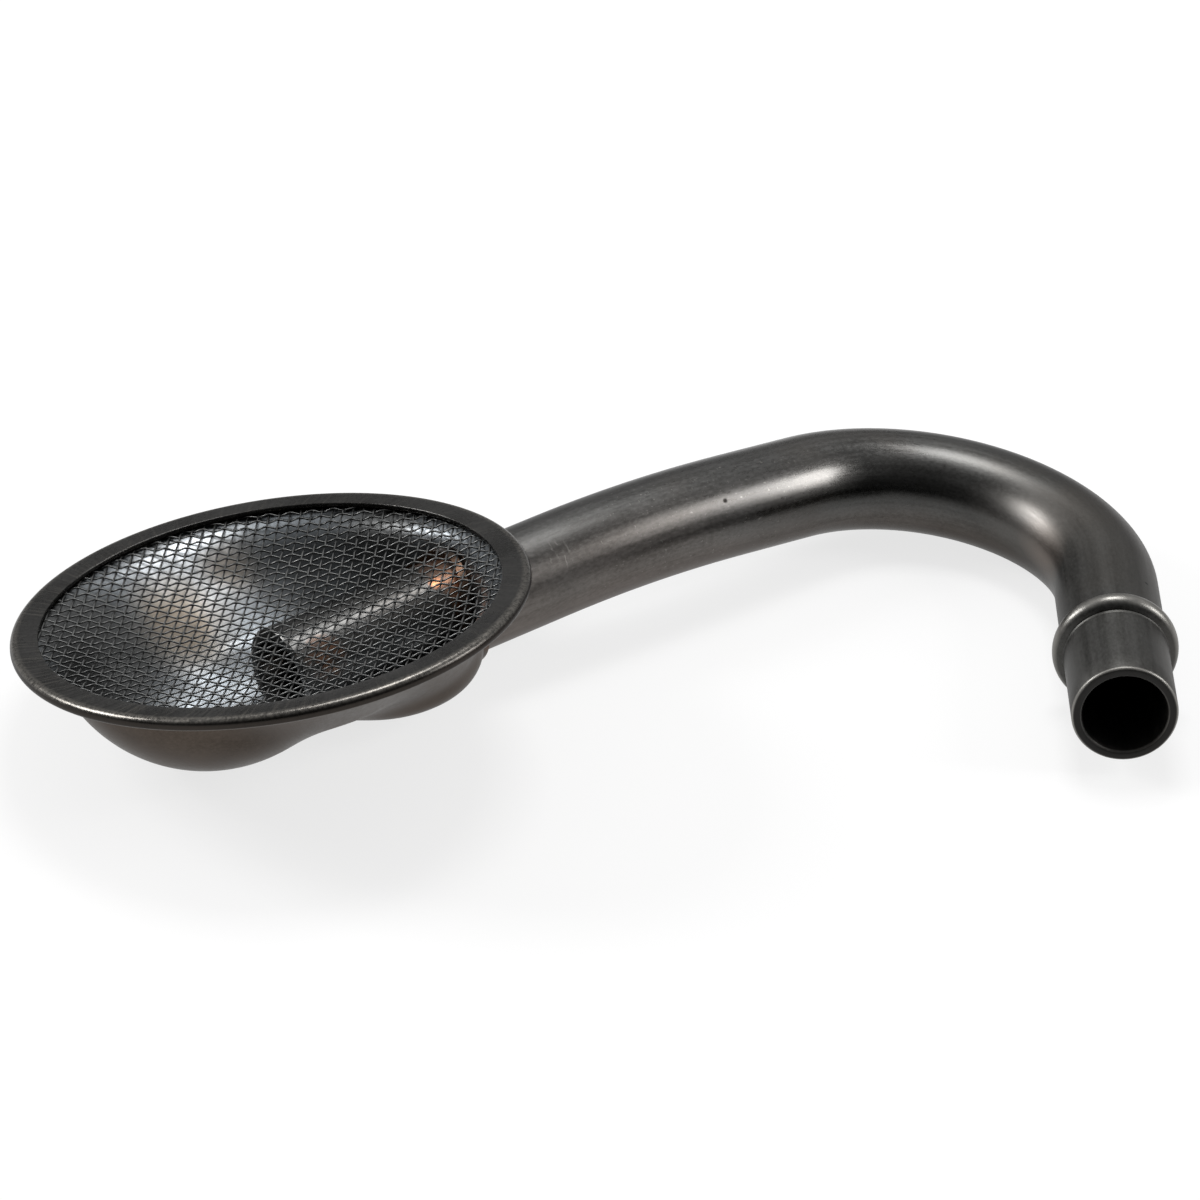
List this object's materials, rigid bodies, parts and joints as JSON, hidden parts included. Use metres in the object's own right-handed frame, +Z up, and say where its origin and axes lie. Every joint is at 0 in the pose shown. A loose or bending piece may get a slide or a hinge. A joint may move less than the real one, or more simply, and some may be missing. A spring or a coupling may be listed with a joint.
{
  "type": "oil pickup tube",
  "caption": "Bent steel suction tube with a beaded press-in outlet and a round stamped strainer closed by a woven wire screen, for drawing oil from a sump.",
  "frame": {"origin": "on the axis of the outlet end, at the front of the bead that stops it in its hole", "axes": "+Z up as the part lies at rest with its screen upwards, outlet mouth towards -Y, strainer towards -X"},
  "size_m": [0.2191, 0.1358, 0.0386],
  "materials": {
    "tube_steel": "drawn steel, satin, slightly dulled",
    "shell_steel": "pressed sheet steel, satin",
    "braze_copper": "furnace copper braze",
    "screen_wire": "woven bright wire"
  },
  "bodies": {
    "root": {"suction_tube": "tube_steel", "strainer_shell": "shell_steel", "braze_ring": "braze_copper", "wire_screen": "screen_wire"}
  },
  "joints": []
}
